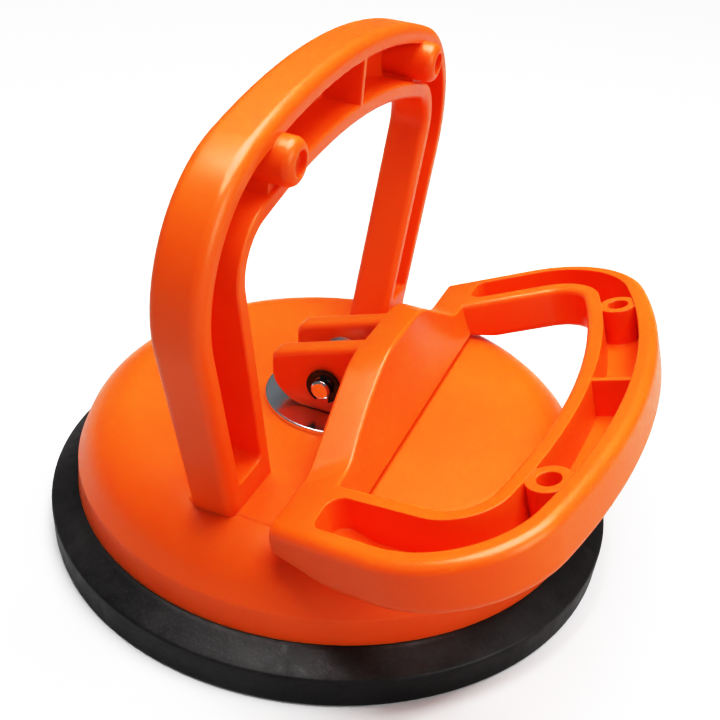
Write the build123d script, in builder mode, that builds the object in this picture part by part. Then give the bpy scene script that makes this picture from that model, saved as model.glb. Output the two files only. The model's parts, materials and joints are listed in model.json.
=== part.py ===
"""Lever-type vacuum suction cup with two grips, 116 mm pad.

A round plastic base with a fixed grip sits on a rubber pad. A steel stud, joined to the
middle of the pad, comes up through the base and is pinned between the two lugs of a
cam lever. With the lever folded down the pad is flat. Raising the lever until its grip
meets the fixed grip rolls the lugs over a steel washer, and that pulls the stud and the
middle of the pad up, so that the rim holds a vacuum.

Frame: millimetres. The origin is the centre of the pad's sealing face, +Z is up, the
lever lies towards +X when it is down, and the pivot pin runs along Y.
"""
import os
from math import atan2, cos, hypot, radians, sin, sqrt, tan

from build123d import *

# --- Rubber pad -----------------------------------------------------------------------
PAD_R = 58.0               # the 116 mm disc that names the size of the cup
PAD_FOOT_R = 57.8          # the side wall tapers in a little towards the sealing face
PAD_EDGE_Z = 6.8           # top of the side wall
PAD_LAND_Z = 9.3           # flat land that the base rests on
PAD_LAND_R = 52.7
PAD_CORE_R = 44.0          # the middle of the pad, which the stud lifts
PAD_CORE_H = 8.0
PAD_SPLIT = 0.5            # gap between the lifted core and the rim that stays down
PAD_CORE_ROUND = 1.5

# --- Base -----------------------------------------------------------------------------
BASE_FOOT_Z = 9.4
BASE_FOOT_R = 52.6
BASE_WALL_Z = 14.8         # the wall ends here and the dome starts
BASE_WALL_R = 52.3
WALL_ROUND = 2.0
DOME_CORNER_R = 48.0       # where the top and the dome's side would meet unrounded
DOME_ROUND = 12.0
TOP_Z = 25.6               # flat top of the dome
SHELL = 2.8                # wall thickness of the moulding
GUIDE_R = 7.0              # boss that guides the stud
GUIDE_H = 4.9
RIB_COUNT = 8
RIB_START = 22.5           # degrees
RIB_R = 46.0
RIB_W = 2.0
RIB_H = 4.5
LEDGE_T = 2.0              # flat pads, level with the top, for the legs and the lever's hub
LEDGE_X = (-11.0, 8.5)
LEDGE_Y = (29.0, 42.8)
LEDGE_CORNER_R = 1.5
LEDGE_ROUND = 0.9

# --- Stud, plate and washer -----------------------------------------------------------
STUD_R = 3.5
STUD_CLEARANCE = 0.1       # radial, in the base
STUD_TOP_Z = 38.6
STUD_FLANGE_R = 6.5
STUD_FLANGE_H = 2.5
STUD_TAIL_R = 2.5
STUD_ROUND = 2.2
PLATE_R = 20.0
PLATE_T = 2.0
PLATE_ROUND = 0.6
WASHER_R = 15.0
WASHER_T = 1.0
WASHER_BORE_R = 4.0
WASHER_ROUND = 0.35

# --- Pivot ----------------------------------------------------------------------------
PIN_Z = 32.8
PIN_R = 2.0
PIN_HALF = 10.8
PIN_CHAMFER = 0.4
PIN_CLEARANCE = 0.06       # radial, in the lever and in the stud
GROOVE_R = 1.6
GROOVE_W = 0.7
GROOVE_Y = 8.85
CLIP_R = 3.5
CLIP_T = 0.6
CLIP_BORE_R = 2.3
CLIP_CLEARANCE = 0.05
CLIP_TOOTH_W = 1.4
CLIP_MOUTH_W = 2.6
CLIP_MOUTH_TOP = -0.6       # the mouth is cut up to here, seen from the pin

# --- Cam ------------------------------------------------------------------------------
CLOSED_ANGLE = radians(72)  # lever travel from flat to clamped
LIFT = 5.0                  # rise of the stud over that travel
CAM_DEPTH = 6.0             # from the pin down to the flat under the lugs
LUG_INNER = 3.7
LUG_OUTER = 8.3
LUG_END_X = -11.9
LUG_ROUND = 2.5
LUG_ROOT_X = 9.0           # the lugs run on into the hub
CAM_STEPS = 6

# --- Grips, measured from the pin along the lever and from FIXED_ZERO_Z up the fixed grip ---
LEVER_TIP = 60.8           # outside of the bow
LEVER_BOW_R = 128.0        # large radius of the bow
LEVER_SIDE = 50.2          # half width at SIDE_AT
LEVER_SHOULDER_R = 22.0
LEVER_DEPTH = 9.4
FIXED_TIP = 61.4
FIXED_BOW_R = 140.0
FIXED_SIDE = 49.9
FIXED_SHOULDER_R = 24.0
FIXED_DEPTH = 8.9
SIDE_AT = 8.0
SIDE_FLARE = 0.33          # how fast the sides widen
OPEN_TIP = 46.8            # finger opening, the same in both
OPEN_BOW_R = 133.0
OPEN_SIDE = 36.6
OPEN_SIDE_AT = 16.0
OPEN_FLARE = 0.31
OPEN_SHOULDER_R = 7.0
GRIP_FLOOR = 1.6
RIM_OUTER_W = 3.6          # width of the rim either side of the channel
RIM_INNER_W = 3.3
GRIP_BACK_ROUND = 2.0
RIM_OUTER_ROUND = 2.0
RIM_INNER_ROUND = 1.4
CHANNEL_EDGE_ROUND = 0.4
CHANNEL_ROUND = 2.6        # corners at the root of the lever's channel
FIXED_CHANNEL_ROUND = 1.2
POST_R = 3.9               # stop posts, two on each grip
POST_Y = 33.0
POST_AT = 49.4             # from the pin
POST_ROUND = 1.7
POST_HOLE_R = 2.1
SOCKET_DEPTH = 5.0         # in the lever's posts
DISH_DEPTH = 1.2           # in the ends of the fixed grip's posts
WEB_T = 1.2                # web across the channel at its middle
WEB_DROP = 0.3             # the lever's web and sockets stop this far under its rim
WEB_INSET = 2.2            # the ends of the web are buried in the walls, clear of the rounded edges

# --- Lever ----------------------------------------------------------------------------
LEVER_TILT = radians(18.4)
RIM_DROP = 3.94            # the rim's plane passes this far under the pin
LEVER_ROOT = 10.8          # the finger opening starts here, inside the hub
LEVER_CHANNEL_ROOT = 14.4
HUB_TOP = 7.8              # top of hub and lugs over the pin, square to the rim's plane
LUG_EDGE_ROUND = 1.4
HUB_TOP_ROUND = 14.0
HUB_FLOOR_Z = PIN_Z - CAM_DEPTH
HUB_END_Y = 44.0           # inside the sides of the grip
HUB_TOP_Z = 46.5
HUB_TOP_HALF = 6.8
HUB_FOOT_HALF = 42.8       # the saddle's slopes would reach the level underside here
HUB_FOOT_ROUND = 8.0
HUB_EDGE_ROUND = 0.6
HUB_BACK = ((8.6, HUB_FLOOR_Z), (5.5, HUB_TOP_Z))                   # back face, x and z
HUB_SCOOP = ((13.0, HUB_TOP_Z), (14.4, 34.5), (17.7, HUB_FLOOR_Z))  # hollow front, x and z

# --- Fixed grip -----------------------------------------------------------------------
FIXED_LEAN = radians(1.0)
FIXED_RIM_X = -1.0         # where the rim's plane crosses FIXED_RIM_Z
FIXED_RIM_Z = 31.2
FIXED_ZERO_Z = 36.3        # height that the grip outline is measured from
LEG_FOOT_Z = 23.5          # the legs run down into the dome
LEG_CHANNEL_Z = 31.5
FIXED_POST_AT = 50.5
POST_REACH = 3.4           # the posts stand this far out of the rim
NECK_L = 5.5               # neck between each post and the inner wall, from the post's centre
NECK_W = 5.0
NECK_DROP = 0.6            # it stops this far under the rim

# --- Working sizes ----------------------------------------------------------------------
OVERRUN = 1.0              # how far a cut runs past the face it opens
BLOCK = 250.0              # side of a block that cuts everything on one side of a plane
TOUCH = 0.01               # an edge this close to a plane lies in it


def grip_outline(tip, bow_r, side, side_at, flare, root):
    """Half outline of a grip, mirrored: straight flared side, then a large-radius bow.

    Along the grip is local X, from the pin, and local Y is across it. The corners
    between side and bow are left sharp here, at the two points furthest across.
    """
    from_centre = side_at - (tip - bow_r)
    along = from_centre + flare * side
    short = (1 + flare**2) * (from_centre**2 + side**2 - bow_r**2)
    run = (sqrt(along**2 - short) - along) / (1 + flare**2)
    corner_x, corner_y = side_at + run, side + flare * run
    root_y = side + flare * (root - side_at)
    with BuildLine() as edge:
        Line((root, -root_y), (corner_x, -corner_y))
        ThreePointArc((corner_x, -corner_y), (tip, 0), (corner_x, corner_y))
        Line((corner_x, corner_y), (root, root_y))
        Line((root, root_y), (root, -root_y))
    return edge.line


def lever_face(root, inset=0.0):
    """Outer outline of the lever's grip, moved in by inset."""
    side = LEVER_SIDE - inset * hypot(1, SIDE_FLARE)
    return rounded_face(
        grip_outline(LEVER_TIP - inset, LEVER_BOW_R - inset, side, SIDE_AT, SIDE_FLARE, root),
        LEVER_SHOULDER_R - inset,
    )


def fixed_face(root, inset=0.0):
    """Outer outline of the fixed grip, moved in by inset."""
    side = FIXED_SIDE - inset * hypot(1, SIDE_FLARE)
    return rounded_face(
        grip_outline(FIXED_TIP - inset, FIXED_BOW_R - inset, side, SIDE_AT, SIDE_FLARE, root),
        FIXED_SHOULDER_R - inset,
    )


def opening_face(root, outset=0.0):
    """Outline of the finger opening, moved out by outset."""
    return rounded_face(
        grip_outline(
            OPEN_TIP + outset, OPEN_BOW_R + outset, OPEN_SIDE + outset * hypot(1, OPEN_FLARE),
            OPEN_SIDE_AT, OPEN_FLARE, root,
        ),
        OPEN_SHOULDER_R + outset,
    )


def rounded_face(outline, radius):
    """Face inside the outline with its two far corners rounded."""
    with BuildSketch() as face:
        add(outline)
        make_face()
        fillet(face.vertices().group_by(Axis.X)[-1], radius)
    return face.sketch


def on_level(plane, height):
    """Filter for edges that lie in the plane at this height along its normal."""
    return lambda edge: all(
        abs(plane.to_local_coords(edge @ place).Z - height) < TOUCH for place in (0, 0.5, 1)
    )


def grip_edges(grip, plane, height, root, inner):
    """Edges of a grip in the plane at this height: round its finger opening, or round its outside."""
    ring = opening_face(root, RIM_INNER_W).face()

    def wanted(edge):
        middle = plane.to_local_coords(edge @ 0.5)
        at_root = middle.X < root + TOUCH
        return not at_root and ring.is_inside((middle.X, middle.Y, 0)) == inner

    return grip.edges().filter_by(on_level(plane, height)).filter_by(wanted)


def cam_point(angle):
    """Point of the lug, seen from the pin, that faces the washer at this lever angle.

    The depth under the pin grows evenly with the angle, so the curve is an involute.
    """
    rate = LIFT / CLOSED_ANGLE
    depth = CAM_DEPTH + rate * angle
    reach = hypot(rate, depth)
    bearing = atan2(-depth, -rate) - angle
    return reach * cos(bearing), reach * sin(bearing)


# --- Planes of the two grips ------------------------------------------------------------
lever_plane = Plane(
    origin=(0, 0, PIN_Z),
    x_dir=(cos(LEVER_TILT), 0, sin(LEVER_TILT)),
    z_dir=(-sin(LEVER_TILT), 0, cos(LEVER_TILT)),
).offset(-RIM_DROP)
fixed_x = FIXED_RIM_X + (FIXED_ZERO_Z - FIXED_RIM_Z) * tan(FIXED_LEAN)
fixed_plane = Plane(
    origin=(fixed_x, 0, FIXED_ZERO_Z),
    x_dir=(sin(FIXED_LEAN), 0, cos(FIXED_LEAN)),
    z_dir=(cos(FIXED_LEAN), 0, -sin(FIXED_LEAN)),
)

back_low, back_high = (Vector(x, 0, z) for x, z in HUB_BACK)
back_plane = Plane(origin=back_low, x_dir=(0, 1, 0), z_dir=(back_high - back_low).cross(Vector(0, 1, 0)))

os.makedirs("parts", exist_ok=True)

# --- Rubber pad: the rim that stays down --------------------------------------------------
with BuildPart() as pad_rim:
    with BuildSketch(Plane.XZ) as section:
        with BuildLine():
            Polyline(
                (PAD_CORE_R + PAD_SPLIT, 0), (PAD_FOOT_R, 0), (PAD_R, PAD_EDGE_Z),
                (PAD_LAND_R, PAD_LAND_Z), (PAD_CORE_R + PAD_SPLIT, PAD_LAND_Z), close=True,
            )
        make_face()
    revolve(axis=Axis.Z)

# --- Rubber pad: the core that the stud lifts ---------------------------------------------
with BuildPart() as pad_core:
    with BuildSketch(Plane.XY):
        Circle(PAD_CORE_R)
    extrude(amount=PAD_CORE_H)
    fillet(pad_core.edges().group_by(Axis.Z)[-1], PAD_CORE_ROUND)

# --- Backing plate bonded to the top of the core -------------------------------------------
with BuildPart() as backing_plate:
    with BuildSketch(Plane.XY.offset(PAD_CORE_H)):
        Circle(PLATE_R)
        Circle(STUD_TAIL_R, mode=Mode.SUBTRACT)
    extrude(amount=PLATE_T)
    fillet(backing_plate.edges().group_by(Axis.Z)[-1].sort_by(SortBy.RADIUS)[-1], PLATE_ROUND)

# --- Stud ---------------------------------------------------------------------------------
plate_top = PAD_CORE_H + PLATE_T
with BuildPart() as centre_stud:
    with BuildSketch(Plane.XY.offset(PAD_CORE_H)):
        Circle(STUD_TAIL_R)
    extrude(amount=PLATE_T)
    with BuildSketch(Plane.XY.offset(plate_top)):
        Circle(STUD_FLANGE_R)
    extrude(amount=STUD_FLANGE_H)
    with BuildSketch(Plane.XY.offset(plate_top)):
        Circle(STUD_R)
    extrude(amount=STUD_TOP_Z - plate_top)
    fillet(centre_stud.edges().group_by(Axis.Z)[-1], STUD_ROUND)
    with BuildSketch(Plane.XZ.offset(-STUD_R - OVERRUN)):
        with Locations((0, PIN_Z)):
            Circle(PIN_R + PIN_CLEARANCE)
    extrude(amount=2 * (STUD_R + OVERRUN), mode=Mode.SUBTRACT)

# --- Flat ledges where the dome falls away under the legs and the ends of the lever's hub ------
with BuildPart() as ledges:
    x_low, x_high = LEDGE_X
    y_low, y_high = LEDGE_Y
    with BuildSketch(Plane.XY.offset(TOP_Z)) as ledge:
        for side in (-1, 1):
            with Locations(((x_low + x_high) / 2, side * (y_low + y_high) / 2)):
                Rectangle(x_high - x_low, y_high - y_low)
        fillet(
            ledge.vertices().group_by(Axis.Y)[0] + ledge.vertices().group_by(Axis.Y)[-1],
            LEDGE_CORNER_R,
        )
    extrude(amount=-LEDGE_T)
    fillet(
        ledges.edges().filter_by(on_level(Plane.XY, TOP_Z))
        .filter_by(lambda edge: abs(edge.center().Y) > LEDGE_Y[0] + TOUCH),
        LEDGE_ROUND,
    )

# --- Base with its fixed grip, one moulding --------------------------------------------------
foot = (LEG_FOOT_Z - FIXED_ZERO_Z) / cos(FIXED_LEAN)
channel_root = (LEG_CHANNEL_Z - FIXED_ZERO_Z) / cos(FIXED_LEAN)
with BuildPart() as base_housing:
    # fixed grip, an arch with an open channel in its front
    with BuildSketch(fixed_plane):
        add(fixed_face(foot))
        add(opening_face(foot), mode=Mode.SUBTRACT)
    extrude(amount=-FIXED_DEPTH)
    fillet(base_housing.edges().filter_by(on_level(fixed_plane, -FIXED_DEPTH)), GRIP_BACK_ROUND)
    fillet(grip_edges(base_housing, fixed_plane, 0, foot, inner=True), RIM_INNER_ROUND)
    fillet(grip_edges(base_housing, fixed_plane, 0, foot, inner=False), RIM_OUTER_ROUND)
    with BuildSketch(fixed_plane) as channel:
        add(fixed_face(channel_root, RIM_OUTER_W))
        add(opening_face(channel_root, RIM_INNER_W), mode=Mode.SUBTRACT)
        fillet(channel.vertices().group_by(Axis.X)[0], FIXED_CHANNEL_ROUND)
    extrude(amount=-(FIXED_DEPTH - GRIP_FLOOR), mode=Mode.SUBTRACT)
    fillet(
        base_housing.edges(Select.LAST).filter_by(on_level(fixed_plane, 0)), CHANNEL_EDGE_ROUND
    )
    # stop posts, with rounded ends and a neck to the inner wall, and the web across the channel
    with BuildSketch(fixed_plane.offset(-FIXED_DEPTH + GRIP_FLOOR / 2)):
        with Locations((FIXED_POST_AT, -POST_Y), (FIXED_POST_AT, POST_Y)):
            Circle(POST_R)
    extrude(amount=FIXED_DEPTH - GRIP_FLOOR / 2 + POST_REACH)
    fillet(base_housing.edges().filter_by(on_level(fixed_plane, POST_REACH)), POST_ROUND)
    with BuildSketch(fixed_plane.offset(POST_REACH)):
        with Locations((FIXED_POST_AT, -POST_Y), (FIXED_POST_AT, POST_Y)):
            Circle(POST_HOLE_R)
    extrude(amount=-DISH_DEPTH, mode=Mode.SUBTRACT)
    with BuildSketch(fixed_plane.offset(-FIXED_DEPTH + GRIP_FLOOR / 2)):
        with Locations((FIXED_POST_AT, -POST_Y), (FIXED_POST_AT, POST_Y)):
            Rectangle(NECK_L, NECK_W, align=(Align.MAX, Align.CENTER))
    extrude(amount=FIXED_DEPTH - GRIP_FLOOR / 2 - NECK_DROP)
    with BuildSketch(fixed_plane.offset(-FIXED_DEPTH + GRIP_FLOOR / 2)):
        with Locations(((FIXED_TIP + OPEN_TIP) / 2, 0)):
            Rectangle(FIXED_TIP - OPEN_TIP - 2 * WEB_INSET, WEB_T)
    extrude(amount=FIXED_DEPTH - GRIP_FLOOR / 2)
    # dome
    with BuildSketch(Plane.XZ) as dome:
        with BuildLine():
            Polyline(
                (0, TOP_Z), (DOME_CORNER_R, TOP_Z), (BASE_WALL_R, BASE_WALL_Z),
                (BASE_FOOT_R, BASE_FOOT_Z), (0, BASE_FOOT_Z), close=True,
            )
        make_face()
        fillet(dome.vertices().sort_by_distance((DOME_CORNER_R, TOP_Z))[0], DOME_ROUND)
        fillet(dome.vertices().sort_by_distance((BASE_WALL_R, BASE_WALL_Z))[0], WALL_ROUND)
    revolve(axis=Axis.Z)
    add(ledges.part)
    # cavity under the dome
    with BuildSketch(Plane.XZ) as cavity:
        with BuildLine():
            Polyline(
                (0, TOP_Z - SHELL), (DOME_CORNER_R - SHELL, TOP_Z - SHELL),
                (BASE_WALL_R - SHELL, BASE_WALL_Z), (BASE_FOOT_R - SHELL, BASE_FOOT_Z),
                (0, BASE_FOOT_Z), close=True,
            )
        make_face()
        fillet(
            cavity.vertices().sort_by_distance((DOME_CORNER_R - SHELL, TOP_Z - SHELL))[0],
            DOME_ROUND - SHELL,
        )
    revolve(axis=Axis.Z, mode=Mode.SUBTRACT)
    # ribs and the stud's guide inside it, then the bore through the guide
    with BuildSketch(Plane.XY.offset(TOP_Z - SHELL)):
        with PolarLocations(RIB_R / 2, RIB_COUNT, start_angle=RIB_START):
            Rectangle(RIB_R, RIB_W)
    extrude(amount=-RIB_H)
    with BuildSketch(Plane.XY.offset(TOP_Z - SHELL)):
        Circle(GUIDE_R)
    extrude(amount=-GUIDE_H)
    with BuildSketch(Plane.XY.offset(TOP_Z)):
        Circle(STUD_R + STUD_CLEARANCE)
    extrude(amount=-(SHELL + GUIDE_H), mode=Mode.SUBTRACT)

# --- Wear washer under the lugs ---------------------------------------------------------------
with BuildPart() as wear_washer:
    with BuildSketch(Plane.XY.offset(TOP_Z)):
        Circle(WASHER_R)
        Circle(WASHER_BORE_R, mode=Mode.SUBTRACT)
    extrude(amount=WASHER_T)
    fillet(wear_washer.edges().group_by(Axis.Z)[-1].sort_by(SortBy.RADIUS)[-1], WASHER_ROUND)

# --- Bar that joins the two sides of the lever's grip, level with its rim --------------------------
hub_section = Polyline(HUB_SCOOP[-1], *HUB_BACK, HUB_SCOOP[0]) + ThreePointArc(*HUB_SCOOP)
with BuildPart() as lever_bar:
    with BuildSketch(Plane.XZ):
        add(hub_section)
        make_face()
    extrude(amount=HUB_END_Y, both=True)
    with BuildSketch(lever_plane):
        Rectangle(BLOCK, BLOCK)
    extrude(amount=BLOCK, mode=Mode.SUBTRACT)

# --- Hub of the lever: a saddle over the bar, with a scooped front ---------------------------------
with BuildPart() as lever_hub:
    with BuildSketch(Plane.YZ):
        with BuildLine():
            Polyline(
                (-HUB_FOOT_HALF, HUB_FLOOR_Z), (HUB_FOOT_HALF, HUB_FLOOR_Z),
                (HUB_TOP_HALF, HUB_TOP_Z), (-HUB_TOP_HALF, HUB_TOP_Z), close=True,
            )
        make_face()
    extrude(amount=2 * HUB_SCOOP[-1][0])
    with BuildSketch(Plane.XZ):
        add(hub_section)
        make_face()
    extrude(amount=HUB_END_Y, both=True, mode=Mode.INTERSECT)
    with BuildSketch(lever_plane.offset(RIM_DROP + HUB_TOP)):
        Rectangle(BLOCK, BLOCK)
    extrude(amount=HUB_TOP, mode=Mode.SUBTRACT)
    fillet(
        lever_hub.edges().filter_by(on_level(lever_plane, RIM_DROP + HUB_TOP))
        .filter_by(lambda edge: abs(edge.center().Y) > LUG_INNER),
        HUB_TOP_ROUND,
    )
    add(lever_bar.part)
    fillet(
        lever_hub.edges().filter_by(on_level(lever_plane, 0))
        .filter_by(lambda edge: TOUCH < abs((edge % 0.5).Y) < 1 - TOUCH),
        HUB_FOOT_ROUND,
    )
    fillet(
        lever_hub.edges().filter_by(lambda edge: edge.center().Z > HUB_FLOOR_Z + HUB_EDGE_ROUND)
        .filter_by(lambda edge: min((edge @ 0).X, (edge @ 1).X) > HUB_SCOOP[0][0] - OVERRUN)
        .filter_by(lambda edge: abs(edge.center().Y) < HUB_END_Y - TOUCH),
        HUB_EDGE_ROUND,
    )

# --- Two lugs of the lever: their underside is the cam ------------------------------------------
with BuildPart() as lever_lugs:
    lug_end_z = (HUB_TOP + LUG_END_X * sin(LEVER_TILT)) / cos(LEVER_TILT)
    lug_root_z = (HUB_TOP + LUG_ROOT_X * sin(LEVER_TILT)) / cos(LEVER_TILT)
    cam = [cam_point(CLOSED_ANGLE * step / CAM_STEPS) for step in range(CAM_STEPS + 1)]
    with BuildSketch(Plane.XZ.offset(LUG_INNER)) as lug:
        with BuildLine(Plane((0, PIN_Z, 0))):
            Spline(*cam)
            Polyline(
                cam[-1], (LUG_END_X, lug_end_z), (LUG_ROOT_X, lug_root_z),
                (LUG_ROOT_X, -CAM_DEPTH), cam[0],
            )
        make_face()
        fillet(lug.vertices().sort_by_distance((LUG_END_X, PIN_Z + lug_end_z))[0], LUG_ROUND)
    extrude(amount=LUG_OUTER - LUG_INNER)
    fillet(
        lever_lugs.edges().filter_by(on_level(lever_plane, RIM_DROP + HUB_TOP))
        .filter_by(lambda edge: abs((edge % 0.5).Y) < TOUCH),
        LUG_EDGE_ROUND,
    )
    mirror(about=Plane.XZ)

# --- Channel of the lever's grip: its floor rises at the root to clear the level underside --------
with BuildPart() as lever_channel:
    with BuildSketch(lever_plane) as channel:
        add(lever_face(LEVER_CHANNEL_ROOT, RIM_OUTER_W))
        add(opening_face(LEVER_CHANNEL_ROOT, RIM_INNER_W), mode=Mode.SUBTRACT)
        fillet(channel.vertices().group_by(Axis.X)[0], CHANNEL_ROUND)
    extrude(amount=-(LEVER_DEPTH - GRIP_FLOOR))
    with BuildSketch(Plane.XY.offset(HUB_FLOOR_Z + GRIP_FLOOR)):
        Rectangle(BLOCK, BLOCK)
    extrude(amount=-LEVER_DEPTH, mode=Mode.SUBTRACT)

# --- Cam lever: hub, grip and two lugs, one moulding ---------------------------------------------
with BuildPart() as cam_lever:
    with BuildSketch(lever_plane):
        add(lever_face(0))
        add(opening_face(LEVER_ROOT), mode=Mode.SUBTRACT)
    extrude(amount=-LEVER_DEPTH)
    fillet(cam_lever.edges().filter_by(on_level(lever_plane, -LEVER_DEPTH)), GRIP_BACK_ROUND)
    fillet(grip_edges(cam_lever, lever_plane, 0, LEVER_ROOT, inner=True), RIM_INNER_ROUND)
    fillet(grip_edges(cam_lever, lever_plane, 0, 0, inner=False), RIM_OUTER_ROUND)
    with BuildSketch(Plane.XY.offset(HUB_FLOOR_Z)):
        Rectangle(BLOCK, BLOCK)
    extrude(amount=-BLOCK, mode=Mode.SUBTRACT)
    with BuildSketch(Plane.XZ):
        with BuildLine():
            Polyline(*HUB_BACK, (-BLOCK, HUB_TOP_Z), (-BLOCK, HUB_FLOOR_Z), close=True)
        make_face()
    extrude(amount=BLOCK, both=True, mode=Mode.SUBTRACT)
    add(lever_hub.part)
    fillet(
        cam_lever.edges().filter_by(on_level(back_plane, 0))
        .filter_by(lambda edge: edge.center().Z > HUB_FLOOR_Z + TOUCH),
        HUB_EDGE_ROUND,
    )
    add(lever_lugs.part)
    add(lever_channel.part, mode=Mode.SUBTRACT)
    # posts and web of the grip
    with BuildSketch(lever_plane.offset(-LEVER_DEPTH + GRIP_FLOOR / 2)):
        with Locations((POST_AT, -POST_Y), (POST_AT, POST_Y)):
            Circle(POST_R)
        with Locations(((LEVER_TIP + OPEN_TIP) / 2, 0)):
            Rectangle(LEVER_TIP - OPEN_TIP - 2 * WEB_INSET, WEB_T)
    extrude(amount=LEVER_DEPTH - GRIP_FLOOR / 2 - WEB_DROP)
    with BuildSketch(lever_plane):
        with Locations((POST_AT, -POST_Y), (POST_AT, POST_Y)):
            Circle(POST_HOLE_R)
    extrude(amount=-(WEB_DROP + SOCKET_DEPTH), mode=Mode.SUBTRACT)
    # bore for the pin
    with BuildSketch(Plane.XZ.offset(-LUG_OUTER - OVERRUN)):
        with Locations((0, PIN_Z)):
            Circle(PIN_R + PIN_CLEARANCE)
    extrude(amount=2 * (LUG_OUTER + OVERRUN), mode=Mode.SUBTRACT)

# --- Pivot pin, grooved at both ends, and its two clips -----------------------------------------
with BuildPart() as pivot_pin:
    with BuildSketch(Plane.XZ.offset(-PIN_HALF)):
        with Locations((0, PIN_Z)):
            Circle(PIN_R)
    extrude(amount=2 * PIN_HALF)
    chamfer(pivot_pin.edges().group_by(Axis.Y)[0] + pivot_pin.edges().group_by(Axis.Y)[-1], PIN_CHAMFER)
    for side in (-1, 1):
        with BuildSketch(Plane.XZ.offset(side * GROOVE_Y - GROOVE_W / 2)):
            with Locations((0, PIN_Z)):
                Circle(PIN_R + OVERRUN)
                Circle(GROOVE_R, mode=Mode.SUBTRACT)
        extrude(amount=GROOVE_W, mode=Mode.SUBTRACT)

with BuildPart() as retaining_clips:
    for side in (-1, 1):
        with BuildSketch(Plane.XZ.offset(side * GROOVE_Y - CLIP_T / 2)):
            with Locations((0, PIN_Z)):
                Circle(CLIP_R)
                Circle(CLIP_BORE_R, mode=Mode.SUBTRACT)
                with PolarLocations(0, 3, start_angle=90):
                    with Locations((CLIP_BORE_R, 0)):
                        Rectangle(2 * (CLIP_BORE_R - GROOVE_R - CLIP_CLEARANCE), CLIP_TOOTH_W)
            with Locations((0, PIN_Z + CLIP_MOUTH_TOP)):
                Rectangle(
                    CLIP_MOUTH_W, CLIP_R, align=(Align.CENTER, Align.MAX), mode=Mode.SUBTRACT,
                )
        extrude(amount=CLIP_T)

for piece, name in (
    (pad_rim, "pad_rim"), (pad_core, "pad_core"), (backing_plate, "backing_plate"),
    (centre_stud, "centre_stud"), (base_housing, "base_housing"), (wear_washer, "wear_washer"),
    (cam_lever, "cam_lever"), (pivot_pin, "pivot_pin"), (retaining_clips, "retaining_clips"),
):
    piece.part.label = name
    export_step(piece.part, f"parts/{name}.step")
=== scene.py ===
"""Looks of the lever-type vacuum suction cup: materials, the soft rubber pad, floor, light and camera.

Everything is in metres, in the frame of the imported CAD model: the origin is the centre of the
pad's sealing face, +Z is up, the folded lever lies towards +X and the pivot pin runs along Y.
"""
import json
import math

import bpy
import numpy as np
from mathutils import Matrix, Vector


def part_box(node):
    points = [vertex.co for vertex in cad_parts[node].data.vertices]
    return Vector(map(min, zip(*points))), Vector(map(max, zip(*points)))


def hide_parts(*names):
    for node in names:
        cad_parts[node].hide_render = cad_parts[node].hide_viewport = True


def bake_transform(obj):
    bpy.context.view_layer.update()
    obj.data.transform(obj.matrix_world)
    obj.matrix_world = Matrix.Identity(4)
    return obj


MM = 0.001

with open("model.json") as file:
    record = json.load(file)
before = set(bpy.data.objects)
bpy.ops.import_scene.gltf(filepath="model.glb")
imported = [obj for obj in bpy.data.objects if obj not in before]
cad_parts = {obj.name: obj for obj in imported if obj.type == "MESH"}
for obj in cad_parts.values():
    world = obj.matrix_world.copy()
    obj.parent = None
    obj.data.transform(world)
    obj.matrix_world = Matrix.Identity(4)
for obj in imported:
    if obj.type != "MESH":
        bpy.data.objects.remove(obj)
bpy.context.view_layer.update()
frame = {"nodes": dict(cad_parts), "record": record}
scene = bpy.context.scene
nodes = frame["nodes"]

# --- Sizes of the pad, from the frame ------------------------------------------------------
core_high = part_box("pad_core")[1]
rim_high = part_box("pad_rim")[1]
plate_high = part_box("backing_plate")[1]
PAD_R = rim_high.x                # outer radius at the top of the side wall
PAD_LAND_Z = rim_high.z           # top of the land that the base stands on
CORE_R = core_high.x
CORE_TOP_Z = core_high.z
PLATE_R = plate_high.x

# --- Colours, linear -----------------------------------------------------------------------
ORANGE = (0.87, 0.132, 0.009)
ORANGE_DEEP = (0.82, 0.106, 0.007)
# lighter orange for the flow streaks, and the painted highlight along the edges
ORANGE_STREAK_AND_EDGE_HIGHLIGHT = (0.94, 0.175, 0.018)
RUBBER_DARK = (0.010, 0.009, 0.009)
RUBBER_GREY = (0.042, 0.039, 0.039)
ZINC = (0.80, 0.85, 0.90)
ZINC_DULL = (0.64, 0.69, 0.75)
PIN_STEEL = (0.58, 0.56, 0.54)
CLIP_BLACK = (0.012, 0.012, 0.014)
BLACK = (0.0, 0.0, 0.0)
WHITE = (1.0, 1.0, 1.0)
FLOOR_WHITE = (0.93, 0.93, 0.93)
FLOOR_GREY = (0.90, 0.90, 0.905)
FLOOR_BOUNCE = (0.42, 0.42, 0.42)    # what the floor throws back up on the object

# --- Shading of the CAD nodes ----------------------------------------------------------------
JOIN_WITHIN = 0.004 * MM         # the CAD mesh comes face by face, and its seams are joined
SHARP_FROM = math.radians(24)    # an edge that turns more than this stays sharp
FLAT_FACE_PULL = 80              # how far large faces bend the normals of the roundings beside them

# --- Section of the soft pad -----------------------------------------------------------------
FOOT_IN = 0.2 * MM               # the side wall leans in by this at the sealing face
SEAL_EDGE_R = 0.9 * MM           # rounding of the sealing edge
BROW_R = 0.7 * MM                # rounding where the side wall meets the bevel
BEVEL_W = 5.3 * MM               # from the side wall in to the flat land
BEVEL_H = 2.5 * MM               # from the top of the side wall up to the land
STEP_OUT = 0.5 * MM              # the land ends this far outside the rigid core
PAD_TURNS = 160                  # points round the pad
HELD_OUT = 1.0 * MM              # the rubber is stiff this far past the backing plate
FREE_OUT = 0.4 * MM              # and stays down from here, outside the rigid core

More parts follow.
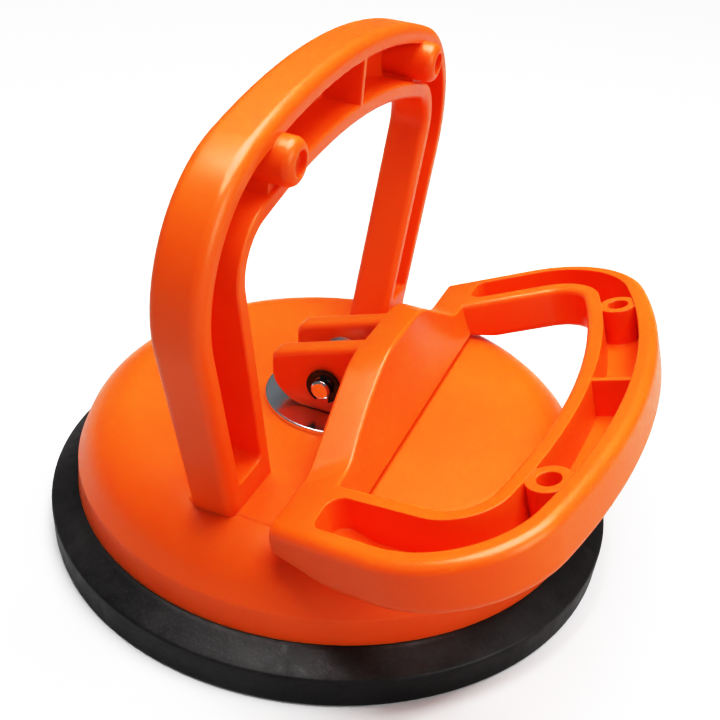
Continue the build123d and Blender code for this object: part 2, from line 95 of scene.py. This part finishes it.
# --- Floor -------------------------------------------------------------------------------------
FLOOR_HALF = 3.0
FLOOR_ROWS = 24
FLOOR_BEND_Y = 1.2               # behind this the floor curves up
FLOOR_CURL = 0.5
FLOOR_GAP = 0.02 * MM            # the floor lies this far under the sealing face
FLOOR_NEAR = 0.25                # it fades to plain white between these two distances
FLOOR_FAR = 0.90

# --- Lamps: place, side of the square, power in watts --------------------------------------------
TOP_LAMP = ((0.05, 0.10, 0.95), 0.8, 14.5)
FILL_LAMP = ((0.8, -0.20, 0.40), 0.5, 2.5)
LAMP_TARGET = (0.0, 0.0, 0.04)
SURROUNDINGS = 0.16              # light of the surroundings on the object
BACKDROP = 1.0                   # the surroundings as the camera sees them

# --- Camera --------------------------------------------------------------------------------------
CAMERA_AZIMUTH = math.radians(18.888)
CAMERA_ELEVATION = math.radians(31.190)
CAMERA_ROLL = math.radians(5.285)
CAMERA_DISTANCE = 0.27144
CAMERA_TARGET = (-0.014893, 0.055145, 0.0)
CAMERA_LENS = 50.98              # mm, as the sensor
SENSOR_WIDTH = 36.0

# --- Tone: points of scene light and display light, both linear, in a gentle S -----------------
TONE_WHITE = 1.3
TONE_CURVE = ((0.05, 0.027), (0.165, 0.168), (0.42, 0.60), (0.80, 0.90))


# --- Node helpers ---------------------------------------------------------------------------
class Shader:
    """A material's node tree with its Principled shader, built one named step at a time."""

    def __init__(self, name):
        self.material = bpy.data.materials.new(name)
        self.material.use_nodes = True
        self.tree = self.material.node_tree
        self.tree.nodes.clear()
        self.surface = self.add("ShaderNodeBsdfPrincipled")
        output = self.add("ShaderNodeOutputMaterial")
        self.link(self.surface.outputs[0], output.inputs["Surface"])
        self.place = self.add("ShaderNodeTexCoord").outputs["Object"]

    def add(self, kind, **values):
        """New node; a value is a node property, or else the input of that name."""
        node = self.tree.nodes.new(kind)
        for key, value in values.items():
            if hasattr(node, key):
                setattr(node, key, value)
            else:
                self.set(node, key.replace("_", " "), value)
        return node

    def set(self, node, socket, value):
        """Gives an input a number, a colour or another node's output."""
        target = node.inputs[socket]
        if isinstance(value, bpy.types.NodeSocket):
            self.link(value, target)
        elif isinstance(value, tuple) and len(value) == 3 and target.type == "RGBA":
            target.default_value = (*value, 1.0)
        else:
            target.default_value = value

    def link(self, output, target):
        self.tree.links.new(output, target)

    def noise(self, scale, detail=3.0, roughness=0.5, stretch=(1, 1, 1)):
        """Noise of this many waves per metre, about 0.5 on average."""
        where = self.place
        if stretch != (1, 1, 1):
            where = self.add("ShaderNodeMapping", Scale=stretch, Vector=where).outputs[0]
        noise = self.add("ShaderNodeTexNoise", Scale=scale, Detail=detail, Vector=where)
        noise.inputs["Roughness"].default_value = roughness
        return noise.outputs["Fac"]

    def remap(self, value, low, high, to_low, to_high):
        """Value scaled from low..high to to_low..to_high, kept inside that range."""
        node = self.add("ShaderNodeMapRange", Value=value)
        for socket, number in zip(("From Min", "From Max", "To Min", "To Max"),
                                  (low, high, to_low, to_high)):
            node.inputs[socket].default_value = number
        return node.outputs[0]

    def mix(self, factor, first, second):
        """Colour between first and second."""
        node = self.add("ShaderNodeMix", data_type="RGBA")
        self.set(node, 0, factor)
        self.set(node, 6, first)
        self.set(node, 7, second)
        return node.outputs[2]

    def math(self, operation, first, second=0.0):
        node = self.add("ShaderNodeMath", operation=operation)
        self.set(node, 0, first)
        self.set(node, 1, second)
        return node.outputs[0]

    def bump(self, height, distance, strength=1.0, normal=None):
        """Normal of a surface that the height moves by up to distance."""
        node = self.add("ShaderNodeBump", Height=height)
        node.inputs["Distance"].default_value = distance
        node.inputs["Strength"].default_value = strength
        if normal is not None:
            self.link(normal, node.inputs["Normal"])
        return node.outputs[0]

    def rounded(self, radius):
        """Normal with the edges of the mesh softened to this radius."""
        node = self.add("ShaderNodeBevel", samples=6)
        node.inputs["Radius"].default_value = radius
        return node.outputs[0]

    def edges(self, radius):
        """About 0 on faces and up to 1 on edges narrower than the radius."""
        geometry = self.add("ShaderNodeNewGeometry")
        dot = self.add("ShaderNodeVectorMath", operation="DOT_PRODUCT")
        self.link(self.rounded(radius), dot.inputs[0])
        self.link(geometry.outputs["Normal"], dot.inputs[1])
        return self.remap(dot.outputs["Value"], 0.99, 0.85, 0.0, 1.0)

    def finish(self, **values):
        """Sets the Principled shader's inputs and returns the material."""
        for key, value in values.items():
            self.set(self.surface, key.replace("_", " "), value)
        return self.material


# --- Materials --------------------------------------------------------------------------------
def orange_plastic():
    """Satin-gloss injection moulding: deep orange, slightly translucent, with a painted highlight along
    its edges.
    """
    shader = Shader("orange_plastic")
    clouds = shader.noise(38.0, detail=2.0)
    flow = shader.noise(16.0, detail=3.0, stretch=(1.0, 2.5, 1.0))
    colour = shader.mix(shader.remap(clouds, 0.35, 0.65, 0.0, 0.35), ORANGE, ORANGE_DEEP)
    colour = shader.mix(shader.remap(flow, 0.45, 0.75, 0.0, 0.25), colour, ORANGE_STREAK_AND_EDGE_HIGHLIGHT)
    # painted highlight: every edge turns towards the brighter, yellower orange
    colour = shader.mix(shader.math("MULTIPLY", shader.edges(0.7 * MM), 0.25), colour, ORANGE_STREAK_AND_EDGE_HIGHLIGHT)
    satin = shader.noise(900.0, detail=2.0)
    scuffs = shader.noise(240.0, detail=4.0, roughness=0.7, stretch=(1.0, 6.0, 1.0))
    roughness = shader.math(
        "ADD",
        shader.remap(satin, 0.3, 0.7, 0.30, 0.38),
        shader.remap(scuffs, 0.58, 0.75, 0.0, 0.10),
    )
    soft = shader.rounded(0.45 * MM)
    grain = shader.bump(satin, 0.02 * MM, 0.35, soft)
    sink = shader.bump(shader.noise(55.0, detail=1.0), 0.25 * MM, 0.12, grain)
    return shader.finish(
        Base_Color=colour, Roughness=roughness, Normal=sink, IOR=1.49,
        Subsurface_Weight=0.42, Subsurface_Radius=(1.0, 0.22, 0.04), Subsurface_Scale=2.2 * MM,
        Coat_Weight=0.10, Coat_Roughness=0.18, Specular_IOR_Level=0.40,
    )


def black_rubber():
    """Moulded rubber: nearly black, fine grain, grey bloom and a soft sheen on the bevel."""
    shader = Shader("black_rubber")
    bloom = shader.noise(70.0, detail=5.0, roughness=0.6)
    grain = shader.noise(1800.0, detail=3.0, roughness=0.65)
    colour = shader.mix(shader.remap(bloom, 0.42, 0.70, 0.0, 0.6), RUBBER_DARK, RUBBER_GREY)
    colour = shader.mix(shader.remap(grain, 0.5, 0.75, 0.0, 0.5), colour, RUBBER_GREY)
    roughness = shader.remap(shader.noise(420.0, detail=4.0), 0.3, 0.7, 0.36, 0.52)
    pitted = shader.bump(grain, 0.06 * MM, 0.5)
    wavy = shader.bump(shader.noise(130.0, detail=2.0), 0.12 * MM, 0.25, pitted)
    return shader.finish(
        Base_Color=colour, Roughness=roughness, Normal=wavy, IOR=1.52,
        Specular_IOR_Level=0.45, Sheen_Weight=0.08, Sheen_Roughness=0.4,
    )


def zinc_steel():
    """Zinc-plated steel with faint turning marks and slightly duller patches."""
    shader = Shader("zinc_steel")
    blotch = shader.noise(90.0, detail=2.0)
    colour = shader.mix(shader.remap(blotch, 0.4, 0.65, 0.0, 1.0), ZINC, ZINC_DULL)
    rings = shader.add("ShaderNodeTexWave", wave_type="RINGS", rings_direction="Z",
                       Scale=900.0, Distortion=1.5, Vector=shader.place)
    roughness = shader.remap(blotch, 0.3, 0.7, 0.16, 0.24)
    turned = shader.bump(rings.outputs["Fac"], 0.01 * MM, 0.15, shader.rounded(0.25 * MM))
    return shader.finish(Base_Color=colour, Metallic=1.0, Roughness=roughness, Normal=turned)


def bright_steel():
    """Polished pin with faint scratches."""
    shader = Shader("bright_steel")
    scratches = shader.noise(2500.0, detail=3.0, stretch=(1.0, 0.05, 1.0))
    tint = shader.mix(shader.noise(400.0), PIN_STEEL, ZINC)
    roughness = shader.remap(scratches, 0.35, 0.7, 0.12, 0.26)
    scored = shader.bump(scratches, 0.01 * MM, 0.3, shader.rounded(0.12 * MM))
    return shader.finish(Base_Color=tint, Metallic=1.0, Roughness=roughness, Normal=scored)


def black_steel():
    """Oiled black spring steel of the clips."""
    shader = Shader("black_steel")
    patches = shader.noise(900.0, detail=4.0)
    colour = shader.mix(shader.remap(patches, 0.5, 0.8, 0.0, 1.0), CLIP_BLACK, RUBBER_GREY)
    roughness = shader.remap(patches, 0.3, 0.7, 0.14, 0.34)
    rough = shader.bump(patches, 0.02 * MM, 0.3, shader.rounded(0.1 * MM))
    return shader.finish(
        Base_Color=colour, Metallic=0.6, Roughness=roughness, Normal=rough, Coat_Weight=0.5,
    )


def floor_paint():
    """Matt white floor that fades to plain white far off and can't be seen from below.

    It throws only part of its light back up, so that the object's underside stays dark.
    """
    shader = Shader("floor_paint")
    patchy = shader.noise(3.0, detail=3.0)
    camera_ray = shader.add("ShaderNodeLightPath").outputs["Is Camera Ray"]
    distance = shader.add("ShaderNodeVectorMath", operation="LENGTH")
    shader.link(shader.place, distance.inputs[0])
    far = shader.remap(distance.outputs["Value"], FLOOR_NEAR, FLOOR_FAR, 0.0, 1.0)
    glow = shader.math("MULTIPLY", far, camera_ray)
    seen = shader.mix(patchy, FLOOR_WHITE, FLOOR_GREY)
    seen = shader.mix(far, seen, BLACK)
    colour = shader.mix(camera_ray, FLOOR_BOUNCE, seen)
    underside = shader.add("ShaderNodeNewGeometry").outputs["Backfacing"]
    return shader.finish(
        Base_Color=colour, Roughness=0.9, Specular_IOR_Level=0.0,
        Emission_Color=WHITE, Emission_Strength=glow,
        Alpha=shader.math("SUBTRACT", 1.0, underside),
    )


MATERIALS = {
    "orange_plastic": orange_plastic(),
    "black_rubber": black_rubber(),
    "zinc_steel": zinc_steel(),
    "bright_steel": bright_steel(),
    "black_steel": black_steel(),
}


# --- CAD nodes keep their shape and take these materials -----------------------------------------
def smooth_by_angle(limit):
    """Node group that shades smoothly over every edge that turns less than the limit."""
    group = bpy.data.node_groups.new("smooth_by_angle", "GeometryNodeTree")
    for way in ("INPUT", "OUTPUT"):
        group.interface.new_socket("Geometry", in_out=way, socket_type="NodeSocketGeometry")
    start = group.nodes.new("NodeGroupInput")
    angle = group.nodes.new("GeometryNodeInputMeshEdgeAngle")
    sharp = group.nodes.new("FunctionNodeCompare")
    sharp.inputs["B"].default_value = limit
    normals = group.nodes.new("GeometryNodeSetMeshNormal")
    normals.mode = "SHARPNESS"
    normals.inputs["Remove Custom"].default_value = True
    end = group.nodes.new("NodeGroupOutput")
    group.links.new(start.outputs[0], normals.inputs["Mesh"])
    group.links.new(angle.outputs["Unsigned Angle"], sharp.inputs["A"])
    group.links.new(sharp.outputs[0], normals.inputs["Edge Sharpness"])
    group.links.new(normals.outputs[0], end.inputs[0])
    return group


SMOOTHING = smooth_by_angle(SHARP_FROM)


def clean_shading(piece):
    """Joins the faces of the CAD mesh and shades its flats flat and its roundings evenly."""
    weld = piece.modifiers.new("weld", "WELD")
    weld.merge_threshold = JOIN_WITHIN
    smooth = piece.modifiers.new("smooth", "NODES")
    smooth.node_group = SMOOTHING
    weighted = piece.modifiers.new("weighted", "WEIGHTED_NORMAL")
    weighted.keep_sharp = True
    weighted.weight = FLAT_FACE_PULL


for part in frame["record"]["subparts"]:
    piece = nodes[part["node"]]
    piece.data.materials.clear()
    piece.data.materials.append(MATERIALS[part["material_slot"]])
    clean_shading(piece)


# --- Rubber pad: one soft disc for the two rigid stand-ins ------------------------------------------
def revolve(name, profile, count):
    """Closed solid of revolution round Z from (radius, height) points; it starts and ends on the axis."""
    mesh = bpy.data.meshes.new(name)
    inner = profile[1:-1]
    turns = [math.tau * k / count for k in range(count)]
    points = [(0.0, 0.0, profile[0][1])]
    for radius, height in inner:
        points += [(radius * math.cos(t), radius * math.sin(t), height) for t in turns]
    points.append((0.0, 0.0, profile[-1][1]))
    last = len(points) - 1
    faces = []
    for k in range(count):
        following = (k + 1) % count
        faces.append((0, 1 + following, 1 + k))
        for ring in range(len(inner) - 1):
            low, high = 1 + ring * count, 1 + (ring + 1) * count
            faces.append((low + k, low + following, high + following, high + k))
        top = 1 + (len(inner) - 1) * count
        faces.append((top + k, top + following, last))
    mesh.from_pydata(points, [], faces)
    mesh.polygons.foreach_set("use_smooth", [True] * len(mesh.polygons))
    mesh.update()
    piece = bpy.data.objects.new(name, mesh)
    scene.collection.objects.link(piece)
    return piece


def arc(centre, radius, start, end, steps):
    """Points on a circle from one angle to another, in degrees, both ends included."""
    return [
        (
            centre[0] + radius * math.cos(math.radians(start + (end - start) * k / steps)),
            centre[1] + radius * math.sin(math.radians(start + (end - start) * k / steps)),
        )
        for k in range(steps + 1)
    ]


def spread(start, end, steps):
    """Evenly spaced points between two ends, without the ends themselves."""
    return [
        (
            start[0] + (end[0] - start[0]) * k / steps,
            start[1] + (end[1] - start[1]) * k / steps,
        )
        for k in range(1, steps)
    ]


def pad_profile():
    """Section of the pad from the middle of its underside, round the edge, to the middle on top."""
    foot_r = PAD_R - FOOT_IN - SEAL_EDGE_R
    land_r = PAD_R - BEVEL_W
    brow_z = PAD_LAND_Z - BEVEL_H - BROW_R
    step_r = CORE_R + STEP_OUT
    under = [(0.0, 0.0)] + spread((0.0, 0.0), (foot_r, 0.0), 24)
    edge = arc((foot_r, SEAL_EDGE_R), SEAL_EDGE_R, -90, 0, 5)
    wall = spread(edge[-1], (PAD_R, brow_z), 4)
    shoulder = arc((PAD_R - BROW_R, brow_z), BROW_R, 0, 65, 4)
    bevel = spread(shoulder[-1], (land_r, PAD_LAND_Z), 6)
    land = [(land_r, PAD_LAND_Z), ((land_r + step_r) / 2, PAD_LAND_Z)]
    drop = PAD_LAND_Z - CORE_TOP_Z       # the land falls to the middle in one hollow rounding
    fall = arc((step_r - drop, PAD_LAND_Z), drop, 0, -90, 4)
    top = spread(fall[-1], (0.0, CORE_TOP_Z), 18) + [(0.0, CORE_TOP_Z)]
    return under + edge + wall + shoulder + bevel + land + fall + top


def rubber_pad():
    """Soft disc in place of the two stand-ins; it works out each point's share of the stud's travel, 1
    over the plate and 0 at the rim, but moves nothing, so the pad doesn't bend.
    """
    pad = revolve("rubber_pad", pad_profile(), PAD_TURNS)
    pad.data.materials.append(MATERIALS["black_rubber"])
    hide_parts("pad_rim", "pad_core")
    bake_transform(pad)
    places = np.array([v.co for v in pad.data.vertices])
    radius = np.hypot(places[:, 0], places[:, 1])
    held = PLATE_R + HELD_OUT
    free = CORE_R + FREE_OUT
    share = np.clip((free - radius) / (free - held), 0.0, 1.0)    # 1 over the plate, 0 at the rim
    share = share * share * (3.0 - 2.0 * share)


rubber_pad()


# --- Floor ------------------------------------------------------------------------------------------
def floor_sheet():
    """Large floor that curves up far behind the object."""
    mesh = bpy.data.meshes.new("floor")
    points = []
    for row in range(FLOOR_ROWS + 1):
        y = -FLOOR_HALF + 2 * FLOOR_HALF * row / FLOOR_ROWS
        rise = max(0.0, y - FLOOR_BEND_Y)
        points += [(x, y, rise * rise * FLOOR_CURL - FLOOR_GAP) for x in (-FLOOR_HALF, FLOOR_HALF)]
    faces = [(2 * row, 2 * row + 1, 2 * row + 3, 2 * row + 2) for row in range(FLOOR_ROWS)]
    mesh.from_pydata(points, [], faces)
    mesh.polygons.foreach_set("use_smooth", [True] * len(mesh.polygons))
    floor = bpy.data.objects.new("floor", mesh)
    floor.data.materials.append(floor_paint())
    scene.collection.objects.link(floor)


floor_sheet()


# --- Light --------------------------------------------------------------------------------------------
def softbox(name, place, size, watts):
    """Square white area light that faces the middle of the object."""
    lamp = bpy.data.lights.new(name, "AREA")
    lamp.shape = "SQUARE"
    lamp.size = size
    lamp.energy = watts
    box = bpy.data.objects.new(name, lamp)
    box.location = place
    aim = Vector(LAMP_TARGET) - Vector(place)
    box.rotation_mode = "QUATERNION"
    box.rotation_quaternion = aim.to_track_quat("-Z", "Y")
    scene.collection.objects.link(box)


def studio_light():
    """Large soft light overhead, a weak fill from the lever's side and dim surroundings."""
    world = bpy.data.worlds.new("studio")
    scene.world = world
    world.use_nodes = True
    tree = world.node_tree
    background = tree.nodes["Background"]
    background.inputs["Color"].default_value = (*WHITE, 1.0)
    path = tree.nodes.new("ShaderNodeLightPath")
    strength = tree.nodes.new("ShaderNodeMapRange")
    strength.inputs["To Min"].default_value = SURROUNDINGS
    strength.inputs["To Max"].default_value = BACKDROP
    tree.links.new(path.outputs["Is Camera Ray"], strength.inputs["Value"])
    tree.links.new(strength.outputs[0], background.inputs["Strength"])
    softbox("top", *TOP_LAMP)
    softbox("fill", *FILL_LAMP)


studio_light()


# --- Tone ---------------------------------------------------------------------------------------------
def tone():
    """Plain display with a soft S-curve, the same for red, green and blue."""
    view = scene.view_settings
    view.view_transform = "Standard"
    view.look = "None"
    view.use_curve_mapping = True
    mapping = view.curve_mapping
    mapping.white_level = (TONE_WHITE,) * 3
    curve = mapping.curves[3]
    for light, shown in TONE_CURVE:
        curve.points.new(light / TONE_WHITE, shown)
    mapping.update()


tone()


# --- Camera ---------------------------------------------------------------------------------------------
def camera():
    """Close view from the front right and above, rolled a few degrees."""
    back = Vector((
        math.sin(CAMERA_AZIMUTH) * math.cos(CAMERA_ELEVATION),
        -math.cos(CAMERA_AZIMUTH) * math.cos(CAMERA_ELEVATION),
        math.sin(CAMERA_ELEVATION),
    ))
    level = Vector((math.cos(CAMERA_AZIMUTH), math.sin(CAMERA_AZIMUTH), 0.0))
    upright = back.cross(level)
    right = level * math.cos(CAMERA_ROLL) + upright * math.sin(CAMERA_ROLL)
    up = upright * math.cos(CAMERA_ROLL) - level * math.sin(CAMERA_ROLL)
    data = bpy.data.cameras.new("camera")
    data.sensor_width = SENSOR_WIDTH
    data.lens = CAMERA_LENS
    data.clip_start = 0.01
    data.clip_end = 20.0
    view = bpy.data.objects.new("camera", data)
    turn = Matrix((right, up, back)).transposed().to_4x4()
    view.matrix_world = Matrix.Translation(Vector(CAMERA_TARGET) + back * CAMERA_DISTANCE) @ turn
    scene.collection.objects.link(view)
    scene.camera = view


camera()
